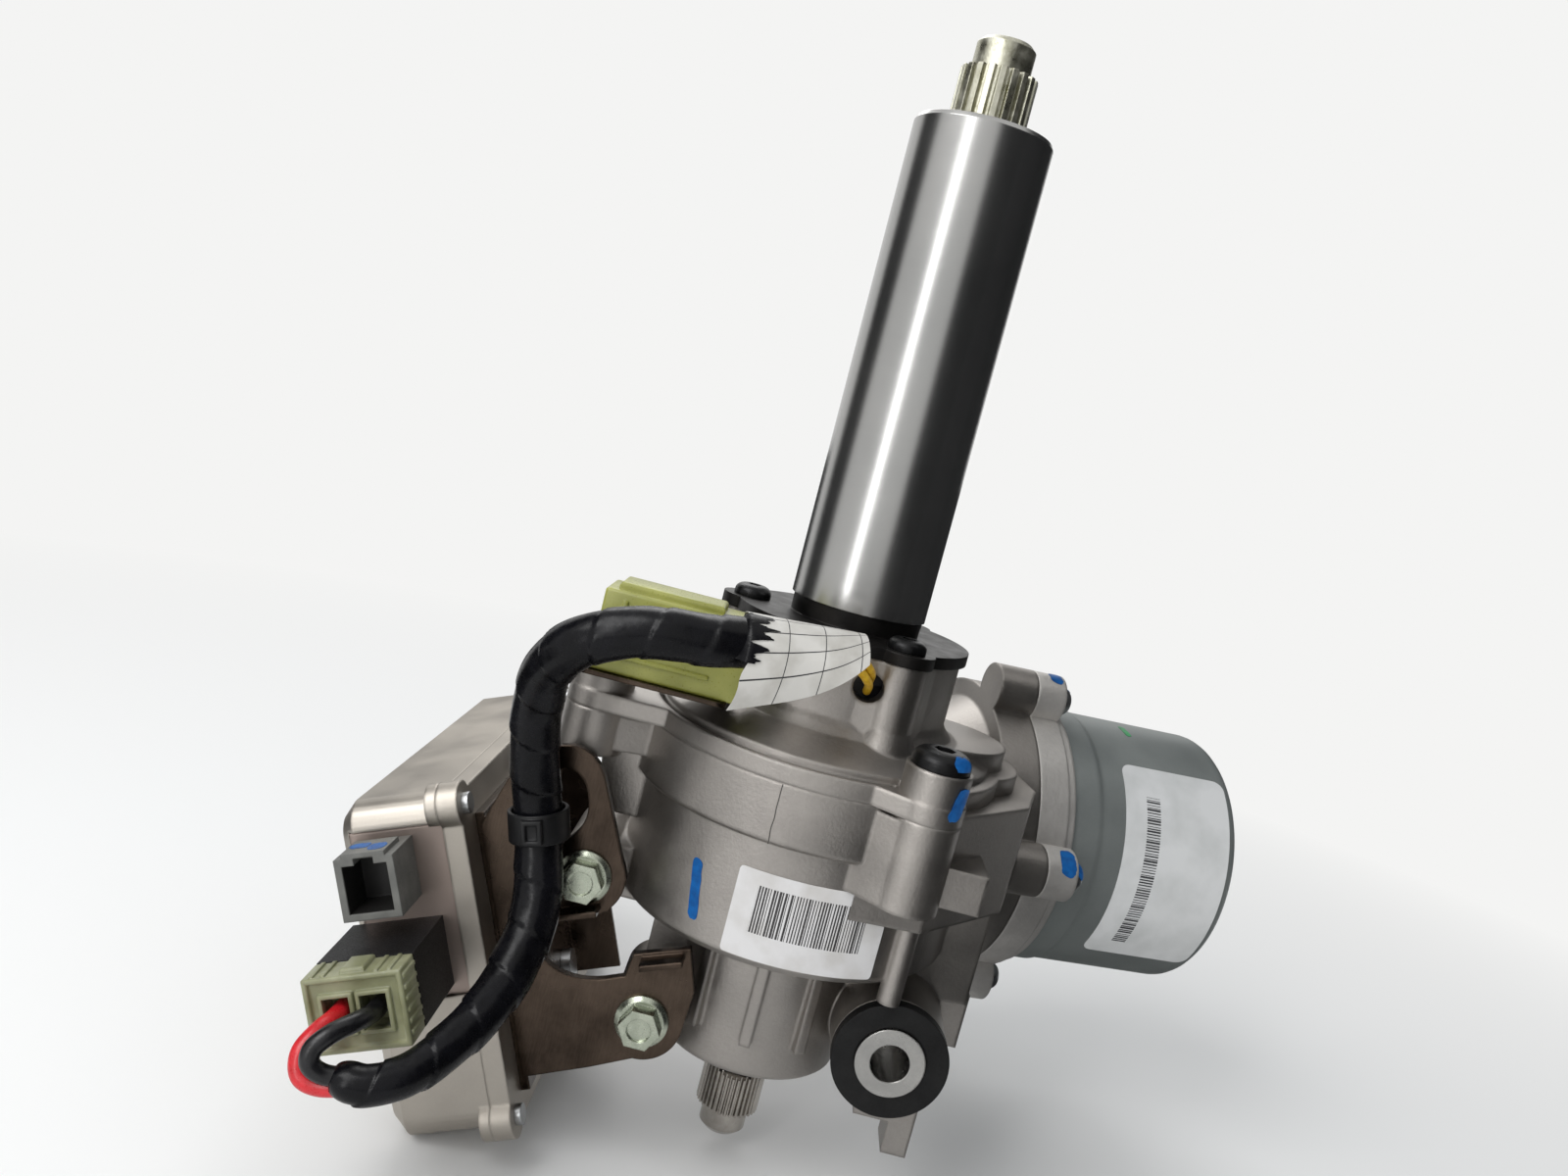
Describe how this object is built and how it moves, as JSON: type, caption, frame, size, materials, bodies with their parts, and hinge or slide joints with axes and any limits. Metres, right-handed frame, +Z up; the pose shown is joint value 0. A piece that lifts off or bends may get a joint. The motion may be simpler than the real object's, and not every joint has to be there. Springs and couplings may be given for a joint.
{
  "type": "steering column",
  "caption": "Lower half of an electrically assisted steering column: jacket tube, torque sensor, worm gear housing, motor, control unit and taped lead.",
  "frame": {"origin": "centre of the jacket tube's lower end, where it meets the flange's collar", "axes": "+Z up the column along the jacket tube, -Y along the pivot bolt towards the side the picture is taken from, +X towards the motor; the motor's own axis is turned 15 degrees from +X towards +Y"},
  "size_m": [0.2599, 0.2169, 0.3188],
  "materials": {
    "ground_steel": "ground",
    "black_plate": "black oxide",
    "black_screw": "black oxide",
    "cast_alloy": "as cast, satin",
    "motor_cast": "as cast, satin",
    "plated_can": "zinc plated",
    "zinc_screw": "zinc plated",
    "yellow_zinc": "yellow zinc plated",
    "sheet_steel": "stamped, bright",
    "unit_alloy": "die cast, satin",
    "grey_plastic": "moulded",
    "black_plastic": "moulded",
    "pale_plastic": "translucent",
    "taped_lead": "taped",
    "red_wire": "smooth",
    "yellow_wire": "smooth",
    "white_label": "satin",
    "black_rubber": "moulded",
    "turned_steel": "turned",
    "greased_steel": "greased",
    "bearing_steel": "ground",
    "nylon": "machined",
    "sintered": "sintered",
    "coil_plastic": "moulded",
    "laminations": "stacked sheet",
    "copper": "enamelled",
    "magnet": "sintered",
    "board": "coated"
  },
  "bodies": {
    "housing": {"column_tube": "ground_steel", "tube_flange": "black_plate", "flange_screws": "black_screw", "tube_bush": "nylon", "sensor_cover": "cast_alloy", "cover_screws": "black_screw", "gear_housing": "cast_alloy", "sensor_coil": "coil_plastic", "sensor_wires": "yellow_wire", "sensor_connector": "pale_plastic", "connector_bracket": "sheet_steel", "harness_flag": "white_label", "harness_sleeve": "taped_lead", "harness_clip": "black_plastic", "red_lead": "red_wire", "black_lead": "taped_lead", "power_plug": "pale_plastic", "power_socket": "black_plastic", "signal_socket": "grey_plastic", "ecu_cover": "unit_alloy", "ecu_base": "unit_alloy", "ecu_board": "board", "ecu_screws": "zinc_screw", "ecu_bracket": "sheet_steel", "bracket_bolts": "yellow_zinc", "bracket_screws": "zinc_screw", "pivot_rubber": "black_rubber", "pivot_collar": "turned_steel", "motor_flange": "motor_cast", "motor_screws": "zinc_screw", "motor_can": "plated_can", "stator_core": "laminations", "stator_windings": "copper", "motor_bearing_outers": "bearing_steel", "worm_bearing_outers": "bearing_steel", "worm_plug": "turned_steel", "output_bearing_outers": "bearing_steel", "output_seal": "black_rubber"},
    "output": {"output_shaft": "turned_steel", "wheel_hub": "turned_steel", "wheel_ring": "nylon", "output_bearing_inners": "bearing_steel", "sensor_lower_ring": "sintered"},
    "input": {"input_shaft": "greased_steel", "torsion_bar": "turned_steel", "torsion_pin": "turned_steel", "sensor_upper_ring": "sintered"},
    "worm_drive": {"worm": "turned_steel", "worm_coupling": "coil_plastic", "worm_bearing_inners": "bearing_steel", "motor_shaft": "turned_steel", "rotor_core": "laminations", "rotor_magnets": "magnet", "motor_bearing_inners": "bearing_steel"}
  },
  "joints": [
    {"name": "output_turn", "type": "hinge", "parent": "housing", "child": "output", "pos_m": [0, 0, -0.069], "axis": [0, 0, 1], "continuous": true},
    {"name": "input_twist", "type": "hinge", "parent": "output", "child": "input", "pos_m": [0, 0, 0], "axis": [0, 0, 1], "range_deg": [-5, 5], "stiffness_Nm_per_rad": 120},
    {"name": "worm_turn", "type": "hinge", "parent": "housing", "child": "worm_drive", "pos_m": [-0.01242, 0.04636, -0.069], "axis": [0.9659, 0.2588, 0], "continuous": true}
  ],
  "couplings": [
    {"joint": "worm_turn", "follows": "output_turn", "ratio": 20.5}
  ]
}
